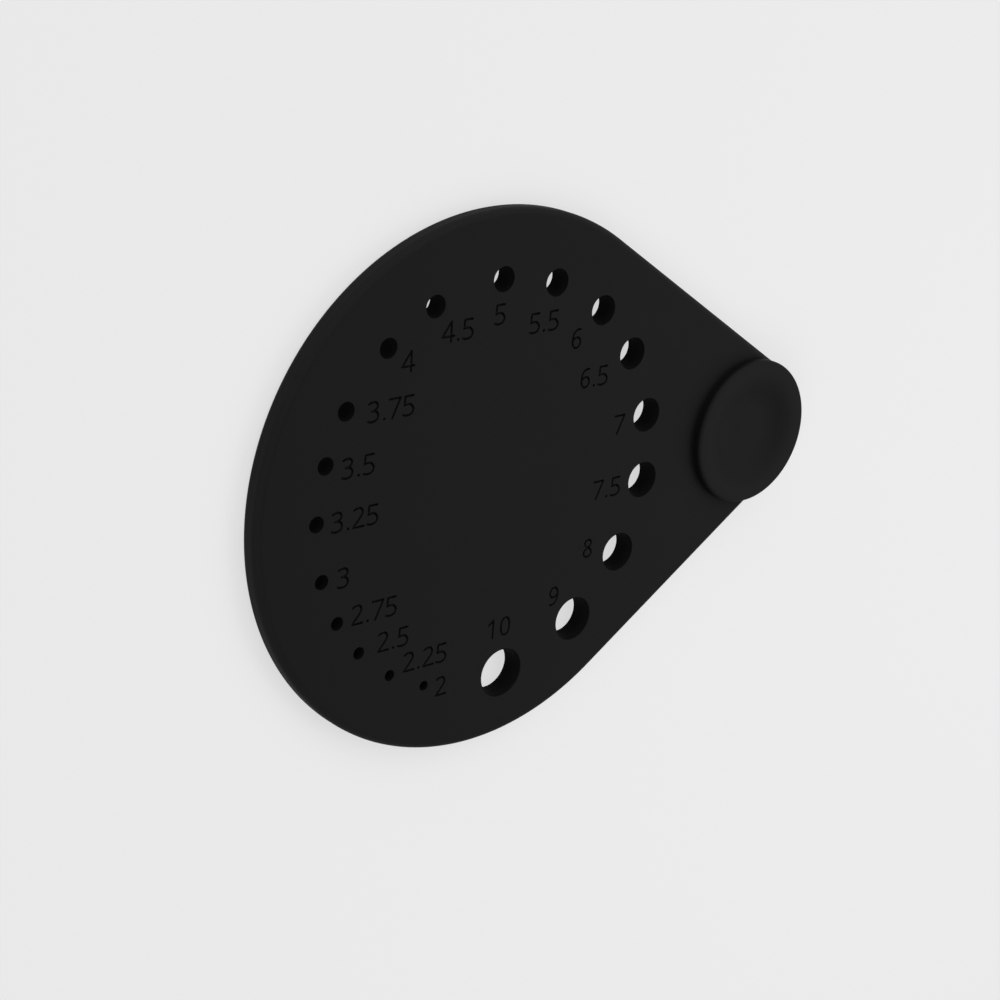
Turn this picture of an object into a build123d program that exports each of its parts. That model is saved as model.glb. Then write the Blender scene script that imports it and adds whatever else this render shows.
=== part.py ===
from build123d import *
from math import acos, atan, degrees, radians, sin
import os

# Knitting needle gauge, made in one piece: a flat teardrop plate, a ring of
# graded holes through it, and a raised finger disc on its narrow end.
# It lies on its back face, z = 0, with +X from the broad disc to the finger disc.
# The origin is the centre of the broad disc, on the back face.

# Plate
plate_thickness = 4.8
disc_radius = 56.25
end_radius = 16.15
end_distance = 72.5
front_edge_radius = 1.7
back_edge_radius = 1.6

# Needle holes: the needle size that each one gauges, and where it sits on the
# ring, in degrees from +X, counter-clockwise seen from the front
ring_radius = 42.5
hole_clearance = 0.1
needle_holes = {
    2.0: -110.0,
    2.25: -123.4,
    2.5: -137.4,
    2.75: -150.0,
    3.0: -163.9,
    3.25: 179.7,
    3.5: 164.2,
    3.75: 149.5,
    4.0: 130.1,
    4.5: 112.9,
    5.0: 90.0,
    5.5: 71.0,
    6.0: 50.7,
    6.5: 32.0,
    7.0: 11.3,
    7.5: -8.3,
    8.0: -30.4,
    9.0: -53.8,
    10.0: -82.0,
}

# Finger disc: a low boss just inside the rounded end of the plate, with a
# rolled rim round a dish for the fingertip
finger_inset = 0.05
finger_height = 2.2
finger_edge_radius = 0.8
finger_roll_radius = 16.0
finger_roll_angle = 4
dish_depth = 1.9
dish_floor_radius = 4.5

finger_radius = end_radius - finger_inset
finger_root = plate_thickness / 2
dish_floor = plate_thickness + finger_height - dish_depth

# Round the dish's flat floor, a hollow arc and a crest arc turn through its slope
edge_width = finger_edge_radius * (1 - sin(radians(finger_roll_angle)))
roll_width = finger_roll_radius * sin(radians(finger_roll_angle))
crest_radius = finger_radius - edge_width - roll_width
slope_width = crest_radius - dish_floor_radius
dish_slope = degrees(2 * atan(dish_depth / slope_width))
dish_bend_radius = slope_width / sin(radians(dish_slope)) / 2

with BuildPart() as gauge:
    # Teardrop plate: two discs and the straight sides that touch them both
    touch = degrees(acos((disc_radius - end_radius) / end_distance))
    with BuildSketch(Plane.XY):
        with BuildLine():
            broad = CenterArc((0, 0), disc_radius, touch, 360 - 2 * touch)
            narrow = CenterArc((end_distance, 0), end_radius, -touch, 2 * touch)
            Line(broad @ 1, narrow @ 0)
            Line(narrow @ 1, broad @ 0)
        make_face()
    extrude(amount=plate_thickness)
    fillet(gauge.edges().group_by(Axis.Z)[-1], radius=front_edge_radius)
    fillet(gauge.edges().group_by(Axis.Z)[0], radius=back_edge_radius)

    # Finger disc, turned about its own axis
    finger_plane = Plane(origin=(end_distance, 0, 0), x_dir=(1, 0, 0), z_dir=(0, -1, 0))
    with BuildSketch(finger_plane):
        with BuildLine():
            floor = Line((0, dish_floor), (dish_floor_radius, dish_floor))
            hollow = JernArc(floor @ 1, (1, 0), dish_bend_radius, dish_slope)
            crest = JernArc(hollow @ 1, hollow % 1, dish_bend_radius, -dish_slope)
            roll = JernArc(crest @ 1, crest % 1, finger_roll_radius, -finger_roll_angle)
            edge = JernArc(roll @ 1, roll % 1, finger_edge_radius, finger_roll_angle - 90)
            Polyline(edge @ 1, (finger_radius, finger_root), (0, finger_root), (0, dish_floor))
        make_face()
    revolve(axis=Axis((end_distance, 0, 0), (0, 0, 1)))

    # Needle holes, straight through with sharp edges
    for needle_size, hole_angle in needle_holes.items():
        with PolarLocations(ring_radius, 1, start_angle=hole_angle):
            Hole(radius=(needle_size + hole_clearance) / 2)

gauge.part.label = "gauge_plate"

os.makedirs("parts", exist_ok=True)
export_step(gauge.part, "parts/gauge_plate.step")
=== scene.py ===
"""Knitting needle gauge: one matte black plastic plate with graded holes, engraved
sizes and a dished finger disc."""

from math import acos, atan, cos, pi, radians, sin

import bmesh
import bpy
from mathutils import Matrix, Vector
from mathutils.geometry import delaunay_2d_cdt


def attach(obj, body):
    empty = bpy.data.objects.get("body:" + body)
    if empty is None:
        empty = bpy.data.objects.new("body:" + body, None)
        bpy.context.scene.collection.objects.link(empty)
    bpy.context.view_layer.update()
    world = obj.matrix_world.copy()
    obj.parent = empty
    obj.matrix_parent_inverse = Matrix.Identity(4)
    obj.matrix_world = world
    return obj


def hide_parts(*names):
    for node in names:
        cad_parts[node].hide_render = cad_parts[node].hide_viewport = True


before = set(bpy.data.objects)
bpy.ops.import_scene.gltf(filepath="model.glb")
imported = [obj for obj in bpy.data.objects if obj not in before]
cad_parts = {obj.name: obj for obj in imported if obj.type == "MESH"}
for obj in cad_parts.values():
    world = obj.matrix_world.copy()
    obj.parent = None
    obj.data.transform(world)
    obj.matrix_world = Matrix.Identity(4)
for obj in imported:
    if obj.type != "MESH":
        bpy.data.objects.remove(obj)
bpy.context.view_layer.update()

MM = 0.001

# Camera: its place, where it looks and which way is up, its lens and its sensor's width,
# in millimetres
CAMERA_PLACE = Vector((-270.25, 148.86, 316.54))
CAMERA_LOOK = Vector((0.61819, -0.34477, -0.70638))
CAMERA_UP = Vector((0.17706, 0.93665, -0.30221))
CAMERA_LENS = 79.39
CAMERA_SENSOR = 36

# The nearest and farthest that the camera sees, in metres
CAMERA_REACH = (0.01, 20)

# Sizes of the gauge, in millimetres, as in the solid
THICKNESS = 4.8
DISC_RADIUS = 56.25
END_RADIUS = 16.15
END_DISTANCE = 72.5
FRONT_EDGE = 1.7
BACK_EDGE = 1.6
RING_RADIUS = 42.5
HOLE_CLEARANCE = 0.1
FINGER_RADIUS = 16.1
FINGER_HEIGHT = 2.2
FINGER_EDGE = 0.8
FINGER_ROLL = 16.0
FINGER_ROLL_ANGLE = radians(4)
DISH_DEPTH = 1.9
DISH_FLOOR = 4.5

# The softened front edge of the holes: its least radius, in millimetres, and how fast
# it grows with the needle size, and from which size on
HOLE_EDGE = 0.02
HOLE_EDGE_GROWTH = 0.07
HOLE_EDGE_START = 4

# Each hole's needle size, its angle on the ring in degrees, and the place of its
# figures: their left end on the baseline, in millimetres
HOLES = {
    "2": (-110.0, (-11.65, -43.25)),
    "2.25": (-123.4, (-20.25, -35.8)),
    "2.5": (-137.4, (-26.95, -29.85)),
    "2.75": (-150.0, (-33.6, -22.6)),
    "3": (-163.9, (-37.25, -14.05)),
    "3.25": (179.7, (-39.2, -2.35)),
    "3.5": (164.2, (-37.25, 8.1)),
    "3.75": (149.5, (-31.75, 18.35)),
    "4": (130.1, (-24.15, 27.1)),
    "4.5": (112.9, (-14.8, 31.6)),
    "5": (90.0, (-2.05, 33.45)),
    "5.5": (71.0, (7.05, 30.45)),
    "6": (50.7, (18.45, 25.7)),
    "6.5": (32.0, (21.7, 16.9)),
    "7": (11.3, (32.4, 5.4)),
    "7.5": (-8.3, (27.85, -8.3)),
    "8": (-30.4, (26.15, -21.0)),
    "9": (-53.8, (17.5, -29.95)),
    "10": (-82.0, (1.2, -33.75)),
}

# Engraved figures: their height, stroke and depth, in millimetres
FIGURE_HEIGHT = 4.25
FIGURE_STROKE = 0.5
FIGURE_DEPTH = 0.6

# How wide they run for their height, and then, in units of that width, how far each
# figure and each point leads on to the next. The point's radius is in units of height
FIGURE_SPACING = 0.985
FIGURE_ADVANCE = 0.80
POINT_ADVANCE = 0.373
POINT_RADIUS = 0.075

# How finely the round shapes are divided
BROAD_STEPS = 220
NARROW_STEPS = 64
SIDE_STEPS = 30
EDGE_STEPS = 8
HOLE_STEPS = 96
HOLE_EDGE_STEPS = 5
STROKE_STEPS = 6
CAP_STEPS = 8
POINT_STEPS = 20
FINGER_STEPS = 160
FINGER_SLOPE_STEPS = 10
FINGER_ROLL_STEPS = 5
FINGER_EDGE_STEPS = 10

# Points closer than this are one, in millimetres, and edges sharper than this stay sharp
MERGE_DISTANCE = 1e-4
FLAT_DISTANCE = 1e-5
SHARP_ANGLE = radians(30)

# How strongly the shading normals follow the large faces, out of 100
NORMAL_WEIGHT = 100

# Plastic: how much it scatters and how much it shines, on its faces and in the holes,
# whose walls carry painted shade, darker and less shiny, up to where their softened
# edges face up this far, and how rough it is
PLASTIC_BASE = 0.0054
PLASTIC_SHINE = 0.085
HOLE_SHADE_BASE = 0.003
HOLE_SHADE_SHINE = 0.015
HOLE_SLOPE = 0.9
PLASTIC_ROUGHNESS = 0.65

# Its fine detail, in millimetres: a fine grain, faint layers on slopes, and slow smudges
GRAIN_SIZE = 0.3
GRAIN_DETAIL = 2
GRAIN_DEPTH = 0.012
LAYER_HEIGHT = 0.2
LAYER_DEPTH = 0.006
SMUDGE_SIZE = 14
SMUDGE_DETAIL = 3

# How much grain and smudges change the shade and the roughness, and the part of the
# noise that does it. The layers show where a surface faces up less than this
GRAIN_SHADE = 0.04
GRAIN_ROUGHNESS = 0.03
SMUDGE_SHADE = 0.05
SMUDGE_ROUGHNESS = 0.02
NOISE_RANGE = (0.3, 0.7)
LAYER_FACING = (0.9, 0.99)

# The finger disc's rim, paler as a painted highlight: how much, and the radii and heights over which it
# turns paler
RIM_HIGHLIGHT_GAIN = 1.2
RIM_HIGHLIGHT_RADII = (11.4, 13.4)
RIM_HIGHLIGHT_HEIGHTS = (5.8, 6.6)

# The finger disc's wall, darker as painted shade where it stands on the plate: how much, and the radii,
# the heights, the distances past the disc's middle and the upward facing over which it comes and goes
WALL_SHADE_DEPTH = 0.35
WALL_START = (15.2, 16)
WALL_END = (16.3, 17)
WALL_HEIGHTS = (3.6, 4.4)
WALL_FADE = (4, 9)
WALL_FACING = (0.3, 0.95)

# The plate's rounded front edge, paler as a painted highlight: how much, and the heights and the upward
# facing in the same way
EDGE_HIGHLIGHT_GAIN = 1.3
EDGE_START = (2.5, 3.5)
EDGE_END = (4.9, 5.1)
EDGE_FACING = (0.9, 0.998)

# Floor: a white opal sheet that glows, as on a light table, with its size in metres
FLOOR_SIZE = 20
FLOOR_WHITE = 0.2
FLOOR_ROUGHNESS = 0.9
FLOOR_SHINE = 0.2
FLOOR_GLOW = 0.61

# Lamp: a round soft lamp past the finger disc, in millimetres, with its power in watts
LAMP_PLACE = (250, -25, 375)
LAMP_SIZE = 260
LAMP_POWER = 0.36

# Studio: soft panels round the gauge, each at an azimuth and a height in degrees,
# with its strength, from a faint 0.5 to a bright 3, and how narrow they all are
PANEL_NARROWNESS = 16
PANELS = [
    (144, 62, 0.5),
    (331, 36, 1),
    (16, 36, 1),
    (61, 36, 3),
    (106, 36, 2),
    (196, 36, 3),
    (241, 36, 1),
    (286, 36, 1),
    (331, 12, 0.5),
    (91, 12, 0.5),
    (121, 12, 2),
]

# Strokes of the figures, in units of their height
STROKES = {
    "0": [
        [(0.399, 0.954), (0.26, 0.905), (0.163, 0.745), (0.133, 0.5), (0.163, 0.255),
         (0.26, 0.095), (0.399, 0.046)],
        [(0.399, 0.954), (0.538, 0.905), (0.635, 0.745), (0.665, 0.5), (0.635, 0.255),
         (0.538, 0.095), (0.399, 0.046)],
    ],
    "1": [
        [(0.4275, 0.96), (0.4275, 0.03)],
        [(0.4275, 0.96), (0.165, 0.755)],
    ],
    "2": [
        [(0.115, 0.88), (0.24, 0.945), (0.39, 0.963), (0.535, 0.91), (0.60, 0.77),
         (0.57, 0.63), (0.46, 0.475), (0.29, 0.285), (0.115, 0.09)],
        [(0.105, 0.055), (0.69, 0.055)],
    ],
    "3": [
        [(0.10, 0.89), (0.22, 0.945), (0.36, 0.96), (0.52, 0.91), (0.59, 0.77), (0.52, 0.62),
         (0.35, 0.55), (0.25, 0.54)],
        [(0.25, 0.54), (0.37, 0.535), (0.56, 0.46), (0.63, 0.29), (0.55, 0.11), (0.33, 0.04),
         (0.18, 0.05), (0.07, 0.095)],
    ],
    "4": [
        [(0.06, 0.30), (0.545, 0.96)],
        [(0.05, 0.285), (0.74, 0.285)],
        [(0.565, 0.96), (0.565, 0.03)],
    ],
    "5": [
        [(0.17, 0.948), (0.62, 0.948)],
        [(0.17, 0.948), (0.135, 0.53)],
        [(0.135, 0.53), (0.24, 0.56), (0.36, 0.565), (0.53, 0.51), (0.64, 0.36),
         (0.645, 0.26), (0.56, 0.105), (0.36, 0.04), (0.20, 0.05), (0.085, 0.09)],
    ],
    "6": [
        [(0.61, 0.95), (0.50, 0.955), (0.33, 0.89), (0.20, 0.73), (0.147, 0.45), (0.165, 0.26),
         (0.26, 0.10), (0.40, 0.045)],
        [(0.40, 0.045), (0.55, 0.10), (0.645, 0.28), (0.61, 0.47), (0.45, 0.565),
         (0.28, 0.53), (0.155, 0.40)],
    ],
    "7": [
        [(0.07, 0.948), (0.695, 0.948)],
        [(0.695, 0.94), (0.255, 0.03)],
    ],
    "8": [
        [(0.40, 0.955), (0.25, 0.90), (0.19, 0.77), (0.25, 0.635), (0.40, 0.54), (0.58, 0.42),
         (0.65, 0.265), (0.58, 0.105), (0.40, 0.045)],
        [(0.40, 0.955), (0.55, 0.90), (0.61, 0.77), (0.55, 0.635), (0.40, 0.54), (0.22, 0.42),
         (0.15, 0.265), (0.22, 0.105), (0.40, 0.045)],
    ],
    "9": [
        [(0.19, 0.05), (0.30, 0.045), (0.47, 0.11), (0.60, 0.27), (0.653, 0.55), (0.635, 0.74),
         (0.54, 0.90), (0.40, 0.955)],
        [(0.40, 0.955), (0.25, 0.90), (0.155, 0.72), (0.19, 0.53), (0.35, 0.435),
         (0.52, 0.47), (0.645, 0.60)],
    ],
}


def place_camera():
    """The photograph's view, with the gauge lying on its back."""
    data = bpy.data.cameras.new("camera")
    data.lens = CAMERA_LENS
    data.sensor_width = CAMERA_SENSOR
    data.clip_start, data.clip_end = CAMERA_REACH
    camera = bpy.data.objects.new("camera", data)
    bpy.context.scene.collection.objects.link(camera)
    back = -CAMERA_LOOK.normalized()
    right = CAMERA_UP.cross(back).normalized()
    up = back.cross(right)
    turn = Matrix((right, up, back)).transposed()
    camera.matrix_world = Matrix.Translation(CAMERA_PLACE * MM) @ turn.to_4x4()
    bpy.context.scene.camera = camera


def arc(centre, radius, start, end, steps):
    """Points of an arc, both ends included."""
    turns = [start + (end - start) * i / steps for i in range(steps + 1)]
    return [Vector((centre[0] + radius * cos(a), centre[1] + radius * sin(a))) for a in turns]


def line_between(a, b, steps):
    """Points between two points, both ends left out."""
    return [a.lerp(b, i / steps) for i in range(1, steps)]


def outline(inset):
    """The teardrop's outline, drawn in by the inset, always with the same number of points."""
    touch = acos((DISC_RADIUS - END_RADIUS) / END_DISTANCE)
    broad = arc((0, 0), DISC_RADIUS - inset, touch, 2 * pi - touch, BROAD_STEPS)
    narrow = arc((END_DISTANCE, 0), END_RADIUS - inset, -touch, touch, NARROW_STEPS)
    sides = [line_between(broad[-1], narrow[0], SIDE_STEPS), line_between(narrow[-1], broad[0], SIDE_STEPS)]
    return broad + sides[0] + narrow + sides[1]


def smooth(points):
    """A smooth line through the points of a stroke."""
    if len(points) < 3:
        return [Vector(p) for p in points]
    p = [Vector(q) for q in points]
    p = [2 * p[0] - p[1]] + p + [2 * p[-1] - p[-2]]
    line = []
    for a, b, c, d in zip(p, p[1:], p[2:], p[3:]):
        for i in range(STROKE_STEPS):
            t = i / STROKE_STEPS
            line.append(0.5 * (
                2 * b + (c - a) * t + (2 * a - 5 * b + 4 * c - d) * t**2
                + (3 * b - 3 * c + d - a) * t**3
            ))
    return line + [p[-2]]


def ribbon(line, width):
    """The outline of a stroke with round ends."""
    half = width / 2
    left, right = [], []
    for i, point in enumerate(line):
        along = (line[min(i + 1, len(line) - 1)] - line[max(i - 1, 0)]).normalized()
        side = Vector((-along.y, along.x)) * half
        left.append(point + side)
        right.append(point - side)
    first = (line[1] - line[0]).normalized()
    last = (line[-1] - line[-2]).normalized()
    angle_end = Vector((1, 0)).angle_signed(last)
    angle_start = Vector((1, 0)).angle_signed(first)
    end_cap = arc(line[-1], half, -angle_end - pi / 2, -angle_end + pi / 2, CAP_STEPS)[1:-1]
    start_cap = arc(line[0], half, -angle_start + pi / 2, -angle_start + 3 * pi / 2, CAP_STEPS)[1:-1]
    return right + end_cap + left[::-1] + start_cap


def figure_strokes(text, place):
    """Outlines of all strokes of one engraved number."""
    wide = FIGURE_HEIGHT * FIGURE_SPACING
    x = 0.0
    outlines = []
    for figure in text:
        if figure == ".":
            centre = (place[0] + (x + POINT_ADVANCE / 2) * wide, place[1] + POINT_RADIUS * FIGURE_HEIGHT)
            outlines.append(arc(centre, POINT_RADIUS * FIGURE_HEIGHT, 0, 2 * pi, POINT_STEPS)[:-1])
            x += POINT_ADVANCE
            continue
        for stroke in STROKES[figure]:
            points = [(place[0] + (x + px) * wide, place[1] + py * FIGURE_HEIGHT) for px, py in stroke]
            outlines.append(ribbon(smooth(points), FIGURE_STROKE))
        x += FIGURE_ADVANCE
    return outlines


def add_flat(bm, outer, holes, strokes, z, floor):
    """A flat face with open holes, and the strokes sunk into it down to the floor."""
    rings = [outer] + holes + strokes
    points, loops = [], []
    for ring in rings:
        loops.append(list(range(len(points), len(points) + len(ring))))
        points += ring
    flat, _, faces, _, _, owners = delaunay_2d_cdt(points, [], loops, 1, FLAT_DISTANCE, True)
    hole_ids = set(range(1, 1 + len(holes)))
    corners = {}

    def corner(i, level):
        if (i, level) not in corners:
            corners[i, level] = bm.verts.new((flat[i].x, flat[i].y, level))
        return corners[i, level]

    sides = {}
    for face, owner in zip(faces, owners):
        if not owner or hole_ids & set(owner):
            continue
        sunk = any(o > len(holes) for o in owner)
        bm.faces.new([corner(i, floor if sunk else z) for i in face])
        for a, b in zip(face, face[1:] + face[:1]):
            sides.setdefault(frozenset((a, b)), []).append(sunk)
    for edge, levels in sides.items():
        if len(levels) == 2 and levels[0] != levels[1]:
            a, b = edge
            bm.faces.new([corner(a, z), corner(b, z), corner(b, floor), corner(a, floor)])


def add_band(bm, lower, upper):
    """Quads between two closed rows of points."""
    low = [bm.verts.new(p) for p in lower]
    high = [bm.verts.new(p) for p in upper]
    count = len(low)
    for i in range(count):
        j = (i + 1) % count
        bm.faces.new([low[i], low[j], high[j], high[i]])


def hole_place(angle):
    """The middle of a hole on the ring."""
    return RING_RADIUS * cos(radians(angle)), RING_RADIUS * sin(radians(angle))


def hole_radius(text):
    """The radius of a hole's wall."""
    return (float(text) + HOLE_CLEARANCE) / 2


def hole_edge(text):
    """The radius of a hole's softened front edge, larger in the larger holes."""
    return max(HOLE_EDGE, HOLE_EDGE_GROWTH * (float(text) - HOLE_EDGE_START))


def hole_rings(text, angle):
    """Rows of points up a hole's wall and round its softened front edge."""
    radius = hole_radius(text)
    edge = hole_edge(text)
    turns = [pi / 2 * i / HOLE_EDGE_STEPS for i in range(HOLE_EDGE_STEPS + 1)]
    rows = [(radius, 0)]
    rows += [(radius + edge * (1 - cos(a)), THICKNESS - edge * (1 - sin(a))) for a in turns]
    middle = hole_place(angle)
    return [[(p.x, p.y, z) for p in arc(middle, r, 0, 2 * pi, HOLE_STEPS)[:-1]] for r, z in rows]


def plate_mesh():
    """The plate with its rounded edges, its holes and its engraved figures."""
    bm = bmesh.new()
    turns = [pi / 2 * i / EDGE_STEPS for i in range(EDGE_STEPS + 1)]
    rows = [(BACK_EDGE * (1 - sin(a)), BACK_EDGE * (1 - cos(a))) for a in turns]
    rows += [(FRONT_EDGE * (1 - cos(a)), THICKNESS - FRONT_EDGE * (1 - sin(a))) for a in turns]
    rows = [[(p.x, p.y, z) for p in outline(inset)] for inset, z in rows]
    for lower, upper in zip(rows, rows[1:]):
        add_band(bm, lower, upper)
    back_holes, front_holes, strokes = [], [], []
    for text, (angle, place) in HOLES.items():
        rings = hole_rings(text, angle)
        for lower, upper in zip(rings, rings[1:]):
            add_band(bm, lower, upper)
        back_holes.append([Vector(p[:2]) for p in rings[0]])
        front_holes.append([Vector(p[:2]) for p in rings[-1]])
        strokes += figure_strokes(text, place)
    add_flat(bm, outline(BACK_EDGE), back_holes, [], 0, 0)
    add_flat(bm, outline(FRONT_EDGE), front_holes, strokes, THICKNESS, THICKNESS - FIGURE_DEPTH)
    return bm


def finger_profile():
    """Radius and height of the finger disc, from the middle of the dish to its foot."""
    edge_width = FINGER_EDGE * (1 - sin(FINGER_ROLL_ANGLE))
    crest = FINGER_RADIUS - edge_width - FINGER_ROLL * sin(FINGER_ROLL_ANGLE)
    top = THICKNESS + FINGER_HEIGHT
    slope = 2 * atan(DISH_DEPTH / (crest - DISH_FLOOR))
    bend = (crest - DISH_FLOOR) / sin(slope) / 2
    turns = [slope * i / FINGER_SLOPE_STEPS for i in range(FINGER_SLOPE_STEPS)]
    line = [(0, top - DISH_DEPTH), (DISH_FLOOR / 2, top - DISH_DEPTH)]
    line += [(DISH_FLOOR + bend * sin(a), top - DISH_DEPTH + bend * (1 - cos(a))) for a in turns]
    line += [(crest - bend * sin(slope - a), top - bend * (1 - cos(slope - a))) for a in turns]
    roll = [FINGER_ROLL_ANGLE * i / FINGER_ROLL_STEPS for i in range(FINGER_ROLL_STEPS + 1)]
    line += [(crest + FINGER_ROLL * sin(a), top - FINGER_ROLL * (1 - cos(a))) for a in roll]
    x, z = FINGER_RADIUS - FINGER_EDGE, line[-1][1] - FINGER_EDGE * cos(FINGER_ROLL_ANGLE)
    turn = (pi / 2 - FINGER_ROLL_ANGLE) / FINGER_EDGE_STEPS
    edge = [FINGER_ROLL_ANGLE + turn * i for i in range(1, FINGER_EDGE_STEPS + 1)]
    line += [(x + FINGER_EDGE * sin(a), z + FINGER_EDGE * cos(a)) for a in edge]
    line.append((FINGER_RADIUS, THICKNESS / 2))
    return line


def finger_mesh():
    """The finger disc, turned about its own axis, with its foot inside the plate."""
    bm = bmesh.new()
    turns = [2 * pi * i / FINGER_STEPS for i in range(FINGER_STEPS)]
    profile = finger_profile()
    middle = bm.verts.new((END_DISTANCE, 0, profile[0][1]))
    rows = []
    for r, z in profile[1:]:
        rows.append([bm.verts.new((END_DISTANCE + r * cos(a), r * sin(a), z)) for a in turns])
    for i in range(FINGER_STEPS):
        j = (i + 1) % FINGER_STEPS
        bm.faces.new([middle, rows[0][i], rows[0][j]])
        for inner, outer in zip(rows, rows[1:]):
            bm.faces.new([inner[i], outer[i], outer[j], inner[j]])
    bm.faces.new(rows[-1])
    return bm


def to_object(bm, name):
    """A closed mesh object, in metres, from one drawn in millimetres."""
    bmesh.ops.remove_doubles(bm, verts=bm.verts, dist=MERGE_DISTANCE)
    bmesh.ops.recalc_face_normals(bm, faces=bm.faces)
    bmesh.ops.scale(bm, vec=(MM, MM, MM), verts=bm.verts)
    mesh = bpy.data.meshes.new(name)
    bm.to_mesh(mesh)
    bm.free()
    piece = bpy.data.objects.new(name, mesh)
    bpy.context.scene.collection.objects.link(piece)
    return piece


def build_gauge():
    """Plate and finger disc joined into one closed piece."""
    gauge = to_object(plate_mesh(), "gauge")
    finger = to_object(finger_mesh(), "finger")
    join = gauge.modifiers.new("join", "BOOLEAN")
    join.operation = "UNION"
    join.solver = "EXACT"
    join.object = finger
    mesh = bpy.data.meshes.new_from_object(gauge.evaluated_get(bpy.context.evaluated_depsgraph_get()))
    gauge.modifiers.clear()
    gauge.data = mesh
    bpy.data.objects.remove(finger)
    mesh.shade_smooth()
    mesh.set_sharp_from_angle(angle=SHARP_ANGLE)
    even = gauge.modifiers.new("even", "WEIGHTED_NORMAL")
    even.keep_sharp = True
    even.weight = NORMAL_WEIGHT
    return gauge


def plastic(name, base, shine):
    """Matte black plastic: fine grain, faint layers on slopes, slow smudges, and painted highlights and
    shade at the finger disc and front edge.
    """
    material = bpy.data.materials.new(name)
    material.use_nodes = True
    nodes, links = material.node_tree.nodes, material.node_tree.links
    shader = nodes["Principled BSDF"]
    shader.inputs["Specular IOR Level"].default_value = shine
    place = nodes.new("ShaderNodeTexCoord")
    parts = nodes.new("ShaderNodeSeparateXYZ")
    links.new(place.outputs["Object"], parts.inputs[0])
    facing = nodes.new("ShaderNodeSeparateXYZ")
    links.new(place.outputs["Normal"], facing.inputs[0])

    def math(operation, *values):
        node = nodes.new("ShaderNodeMath")
        node.operation = operation
        for socket, value in zip(node.inputs, values):
            if isinstance(value, (int, float)):
                socket.default_value = value
            else:
                links.new(value, socket)
        return node.outputs[0]

    def times(first, *others):
        for other in others:
            first = math("MULTIPLY", first, other)
        return first

    def spread(value, limits, low, high):
        node = nodes.new("ShaderNodeMapRange")
        node.interpolation_type = "SMOOTHSTEP"
        links.new(value, node.inputs["Value"])
        node.inputs["From Min"].default_value, node.inputs["From Max"].default_value = limits
        node.inputs["To Min"].default_value, node.inputs["To Max"].default_value = low, high
        return node.outputs[0]

    def rise(value, limits):
        return spread(value, [limit * MM for limit in limits], 0, 1)

    def fall(value, limits):
        return spread(value, [limit * MM for limit in limits], 1, 0)

    def vary(value, middle, change):
        return spread(value, NOISE_RANGE, middle - change, middle + change)

    def noise(size, detail):
        node = nodes.new("ShaderNodeTexNoise")
        node.inputs["Scale"].default_value = 1 / (size * MM)
        node.inputs["Detail"].default_value = detail
        links.new(place.outputs["Object"], node.inputs["Vector"])
        return node.outputs["Fac"]

    grain = noise(GRAIN_SIZE, GRAIN_DETAIL)
    smudge = noise(SMUDGE_SIZE, SMUDGE_DETAIL)
    height = parts.outputs["Z"]
    upward = math("ABSOLUTE", facing.outputs["Z"])

    # Painted highlight: the rim of the finger disc a little paler
    across = math("SUBTRACT", parts.outputs["X"], END_DISTANCE * MM)
    away = math("SQRT", math("ADD", math("POWER", across, 2), math("POWER", parts.outputs["Y"], 2)))
    rim = times(rise(away, RIM_HIGHLIGHT_RADII), rise(height, RIM_HIGHLIGHT_HEIGHTS))
    rim_highlight = math("ADD", 1, times(rim, RIM_HIGHLIGHT_GAIN - 1))

    # Painted shade: its wall darker where it stands on the plate
    wall = times(rise(away, WALL_START), fall(away, WALL_END), rise(height, WALL_HEIGHTS))
    wall = times(wall, fall(across, WALL_FADE), spread(upward, WALL_FACING, 1, 0))
    painted_wall_shade = math("SUBTRACT", 1, times(wall, WALL_SHADE_DEPTH))

    # Painted highlight: the plate's rounded front edge paler too
    edge = times(spread(upward, EDGE_FACING, 1, 0), rise(height, EDGE_START), fall(height, EDGE_END))
    edge_highlight = math("ADD", 1, times(edge, EDGE_HIGHLIGHT_GAIN - 1))

    shade = times(vary(smudge, 1, SMUDGE_SHADE), vary(grain, 1, GRAIN_SHADE))
    # The shade, times the painted highlights on the rim and edge and the painted shade on the wall
    shade = times(shade, base, rim_highlight, painted_wall_shade, edge_highlight)
    colour = nodes.new("ShaderNodeCombineColor")
    for socket in colour.inputs[:3]:
        links.new(shade, socket)
    links.new(colour.outputs[0], shader.inputs["Base Color"])

    rough = math("ADD", vary(smudge, 0, SMUDGE_ROUGHNESS), vary(grain, 0, GRAIN_ROUGHNESS))
    links.new(math("ADD", rough, PLASTIC_ROUGHNESS), shader.inputs["Roughness"])

    layers = math("SINE", times(height, 2 * pi / (LAYER_HEIGHT * MM)))
    relief = times(layers, spread(upward, LAYER_FACING, 1, 0), LAYER_DEPTH / 2)
    relief = math("ADD", relief, times(grain, GRAIN_DEPTH))
    bump = nodes.new("ShaderNodeBump")
    bump.inputs["Distance"].default_value = MM
    links.new(relief, bump.inputs["Height"])
    links.new(bump.outputs[0], shader.inputs["Normal"])
    return material


def dress(gauge):
    """Plastic all over, with painted shade in the holes: a darker, less shiny copy."""
    gauge.data.materials.clear()
    gauge.data.materials.append(plastic("black_plastic", PLASTIC_BASE, PLASTIC_SHINE))
    gauge.data.materials.append(plastic("shaded_holes", HOLE_SHADE_BASE, HOLE_SHADE_SHINE))
    holes = []
    for text, (angle, _) in HOLES.items():
        holes.append((Vector(hole_place(angle)), hole_radius(text) + hole_edge(text)))
    for face in gauge.data.polygons:
        middle = face.center.xy / MM
        in_hole = any((middle - place).length < radius for place, radius in holes)
        face.material_index = 1 if in_hole and abs(face.normal.z) < HOLE_SLOPE else 0


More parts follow.
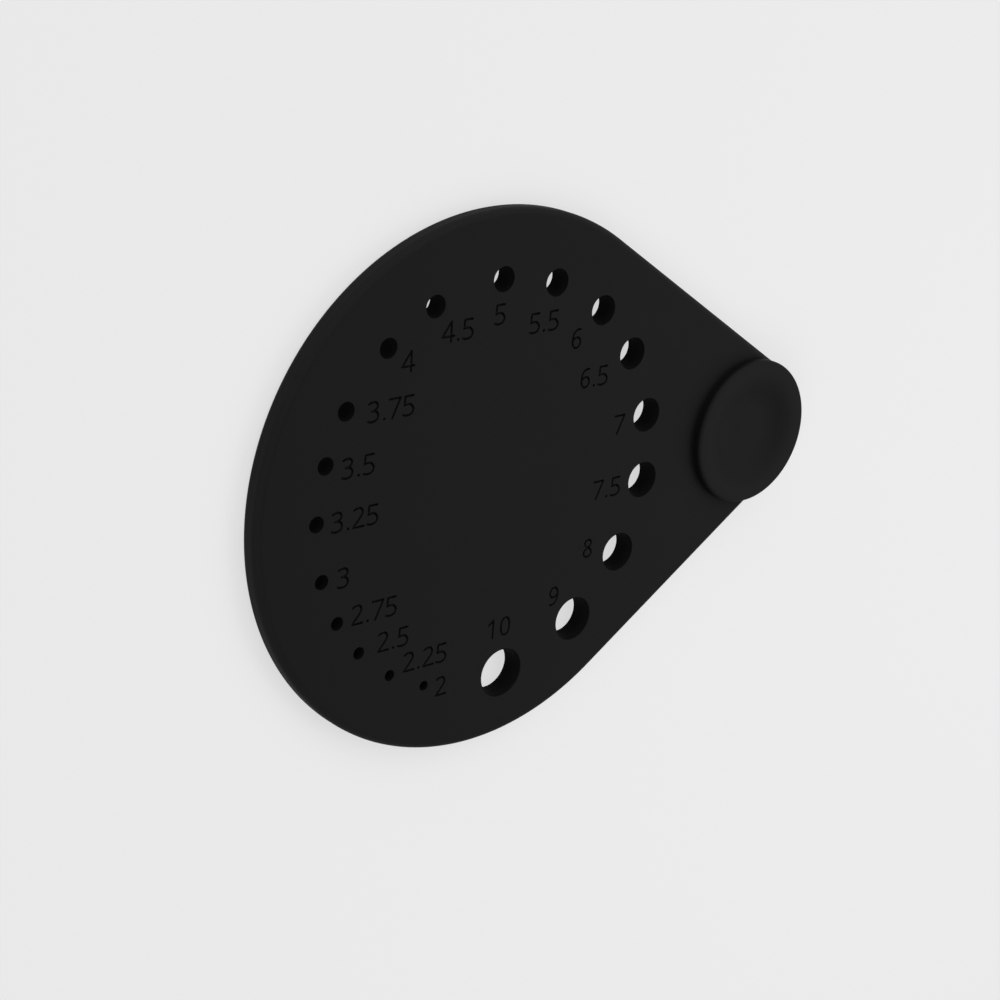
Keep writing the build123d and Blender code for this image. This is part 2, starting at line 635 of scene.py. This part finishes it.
def build_stage():
    """Pale floor and soft light."""
    bpy.ops.mesh.primitive_plane_add(size=FLOOR_SIZE, location=(0, 0, 0))
    floor = bpy.context.object
    floor.name = "floor"
    material = bpy.data.materials.new("floor")
    material.use_nodes = True
    shader = material.node_tree.nodes["Principled BSDF"]
    shader.inputs["Base Color"].default_value = (FLOOR_WHITE, FLOOR_WHITE, FLOOR_WHITE, 1)
    shader.inputs["Roughness"].default_value = FLOOR_ROUGHNESS
    shader.inputs["Specular IOR Level"].default_value = FLOOR_SHINE
    shader.inputs["Emission Color"].default_value = (1, 1, 1, 1)
    shader.inputs["Emission Strength"].default_value = FLOOR_GLOW
    floor.data.materials.append(material)
    build_world()
    light = bpy.data.lights.new("lamp", "AREA")
    light.shape = "DISK"
    light.size = LAMP_SIZE * MM
    light.energy = LAMP_POWER
    lamp = bpy.data.objects.new("lamp", light)
    lamp.location = Vector(LAMP_PLACE) * MM
    lamp.rotation_euler = lamp.location.to_track_quat("Z", "Y").to_euler()
    bpy.context.scene.collection.objects.link(lamp)


def build_world():
    """Soft panels of light round the gauge."""
    world = bpy.data.worlds.new("world")
    world.use_nodes = True
    nodes, links = world.node_tree.nodes, world.node_tree.links
    place = nodes.new("ShaderNodeTexCoord")
    total = None
    for azimuth, height, strength in PANELS:
        around, up = radians(azimuth), radians(height)
        towards = nodes.new("ShaderNodeVectorMath")
        towards.operation = "DOT_PRODUCT"
        towards.inputs[1].default_value = (cos(around) * cos(up), sin(around) * cos(up), sin(up))
        front = nodes.new("ShaderNodeMath")
        front.operation = "MAXIMUM"
        front.inputs[1].default_value = 0
        lobe = nodes.new("ShaderNodeMath")
        lobe.operation = "POWER"
        lobe.inputs[1].default_value = PANEL_NARROWNESS
        added = nodes.new("ShaderNodeMath")
        added.operation = "MULTIPLY_ADD"
        added.inputs[1].default_value = strength
        added.inputs[2].default_value = 0
        links.new(place.outputs["Generated"], towards.inputs[0])
        links.new(towards.outputs["Value"], front.inputs[0])
        links.new(front.outputs[0], lobe.inputs[0])
        links.new(lobe.outputs[0], added.inputs[0])
        if total:
            links.new(total.outputs[0], added.inputs[2])
        total = added
    links.new(total.outputs[0], nodes["Background"].inputs["Strength"])
    nodes["Background"].inputs["Color"].default_value = (1, 1, 1, 1)
    bpy.context.scene.world = world


place_camera()
gauge = build_gauge()
dress(gauge)
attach(gauge, "root")
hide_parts("gauge_plate")
build_stage()

bpy.context.scene.view_settings.view_transform = "Standard"
bpy.context.view_layer.update()
